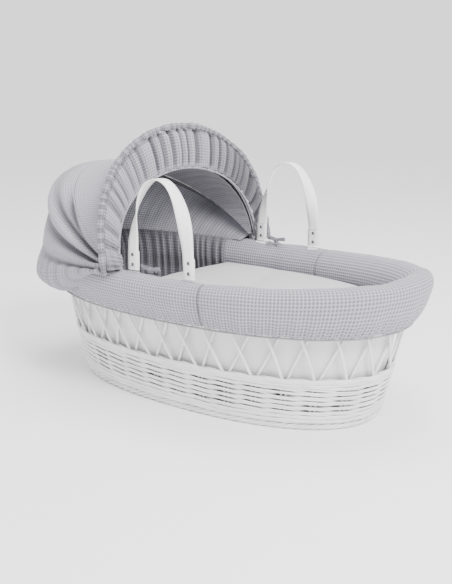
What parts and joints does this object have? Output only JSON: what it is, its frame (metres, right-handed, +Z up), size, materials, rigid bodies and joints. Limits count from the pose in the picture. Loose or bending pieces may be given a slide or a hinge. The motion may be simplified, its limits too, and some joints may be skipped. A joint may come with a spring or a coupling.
{
  "type": "moses basket",
  "caption": "Oval woven willow basket on a rolled foot, with open crossed stakes, a padded fabric rim, a fold-back hood with a gathered frill, strap handles and bedding.",
  "frame": {"origin": "centre of the woven base on the floor", "axes": "+X to the foot end, +Y to the far side, +Z up"},
  "size_m": [0.9, 0.5374, 0.5334],
  "materials": {
    "willow": "white painted willow",
    "white_cotton": "soft white cotton",
    "grey_waffle": "waffle weave cotton",
    "grey_ribbon": "plain cotton tape",
    "pale_cotton": "smooth brushed cotton",
    "elastic": "knitted elastic",
    "strap": "smooth white leathercloth",
    "rivet": "polished",
    "steel": "zinc plated",
    "foam": "open foam"
  },
  "bodies": {
    "basket": {"base_weave": "willow", "base_sticks": "willow", "foot_border": "willow", "upright_stakes": "willow", "lower_band": "willow", "lower_wale": "willow", "outer_cross_stakes": "willow", "inner_cross_stakes": "willow", "upper_wale": "willow", "rim_border": "willow", "side_lining": "white_cotton", "head_gathered_panel": "grey_waffle", "floor_lining": "white_cotton", "near_rim_pad": "grey_waffle", "far_rim_pad": "grey_waffle", "head_rim_pad": "grey_waffle", "foot_rim_pad": "grey_waffle", "hem_elastic": "elastic", "near_tie_bow": "grey_ribbon", "far_tie_bow": "grey_ribbon", "hood_brackets": "steel", "hood_pivot_pins": "steel", "near_handle_loops": "strap", "far_handle_loops": "strap"},
    "hood_rear": {"rear_hoop": "steel", "rear_hoop_eyes": "steel", "hood_back_panel": "grey_waffle"},
    "hood_front": {"front_hoop": "steel", "front_hoop_eyes": "steel", "hood_roof_panel": "grey_waffle", "hood_frill": "grey_waffle", "frill_heading": "grey_waffle", "frill_piping": "grey_ribbon"},
    "near_handle": {"near_handle_strap": "strap", "near_handle_tabs": "strap", "near_handle_rivets": "rivet"},
    "far_handle": {"far_handle_strap": "strap", "far_handle_tabs": "strap", "far_handle_rivets": "rivet"},
    "mattress": {"mattress_core": "foam", "mattress_cover": "white_cotton"},
    "cover": {"coverlet": "pale_cotton"}
  },
  "joints": [
    {"name": "hood_rear_fold", "type": "hinge", "parent": "basket", "child": "hood_rear", "pos_m": [-0.088, 0, 0.271], "axis": [0, -1, 0], "range_deg": [0, 34], "deforming": ["hood_back_panel"]},
    {"name": "hood_front_fold", "type": "hinge", "parent": "hood_rear", "child": "hood_front", "pos_m": [-0.088, 0, 0.271], "axis": [0, -1, 0], "range_deg": [0, 34], "deforming": ["hood_roof_panel"]},
    {"name": "near_handle_swing", "type": "hinge", "parent": "basket", "child": "near_handle", "pos_m": [0, -0.2055, 0.2685], "axis": [1, 0, 0], "range_deg": [-35, 80]},
    {"name": "far_handle_swing", "type": "hinge", "parent": "basket", "child": "far_handle", "pos_m": [0, 0.2055, 0.2685], "axis": [-1, 0, 0], "range_deg": [-35, 80]},
    {"name": "mattress_lift", "type": "slide", "parent": "basket", "child": "mattress", "axis": [0, 0, 1], "range_m": [0, 0.03]},
    {"name": "coverlet_lift", "type": "slide", "parent": "mattress", "child": "cover", "axis": [0, 0, 1], "range_m": [0, 0.03]}
  ],
  "couplings": [
    {"joint": "hood_front_fold", "follows": "hood_rear_fold", "ratio": 1}
  ]
}
